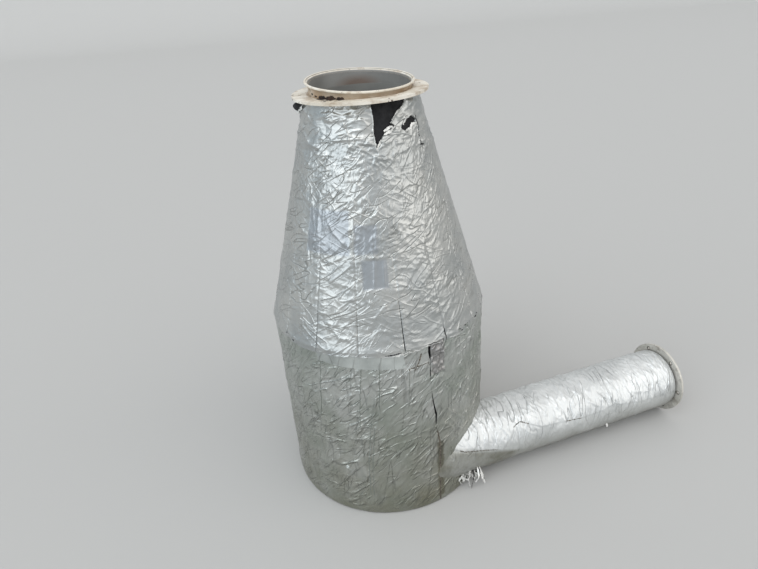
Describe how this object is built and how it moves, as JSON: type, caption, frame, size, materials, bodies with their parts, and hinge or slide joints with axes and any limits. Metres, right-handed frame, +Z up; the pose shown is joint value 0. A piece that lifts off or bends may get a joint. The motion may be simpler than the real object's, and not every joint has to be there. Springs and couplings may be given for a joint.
{
  "type": "cyclone separator",
  "caption": "Insulated cyclone separator standing on its flat roof: a foil-wrapped cone over a barrel, a flanged dust neck on top and a tangential inlet duct.",
  "frame": {"origin": "centre of the gas outlet, on the floor plane that the roof stands on", "axes": "+Z up along the cyclone's axis from the roof to the dust outlet, +X along the inlet duct towards its flange, which lies on the -Y side"},
  "size_m": [1.109, 0.5601, 1.0815],
  "materials": {
    "steel": "dull mill finish, rust low down inside",
    "paint": "cream paint, chipped and rust-stained",
    "galvanised": "weathered zinc",
    "foil": "crumpled embossed foil facing",
    "tape": "foil tape, burnished",
    "foam": "matt black closed-cell foam"
  },
  "bodies": {
    "root": {"roof_plate": "steel", "barrel_shell": "steel", "cone_shell": "steel", "neck_collar": "paint", "dust_flange": "paint", "vortex_finder": "steel", "inlet_duct": "steel", "inlet_flange": "galvanised", "roof_pad": "foam", "duct_wrap_near": "foil", "duct_wrap_far": "foil", "shoulder_tape": "tape", "barrel_wrap_right": "foil", "barrel_wrap_left": "foil", "barrel_wrap_strip": "foil", "cone_gore_01": "foil", "cone_gore_02": "foil", "cone_gore_03": "foil", "cone_gore_04": "foil", "cone_gore_05": "foil", "cone_gore_06": "foil", "cone_gore_07": "foil", "cone_gore_08": "foil", "cone_gore_09": "foil", "cone_gore_10": "foil", "cone_gore_11": "foil", "cone_gore_12": "foil", "cone_gore_13": "foil", "cone_gore_14": "foil", "cone_gore_15": "foil", "cone_gore_16": "foil"}
  },
  "joints": []
}
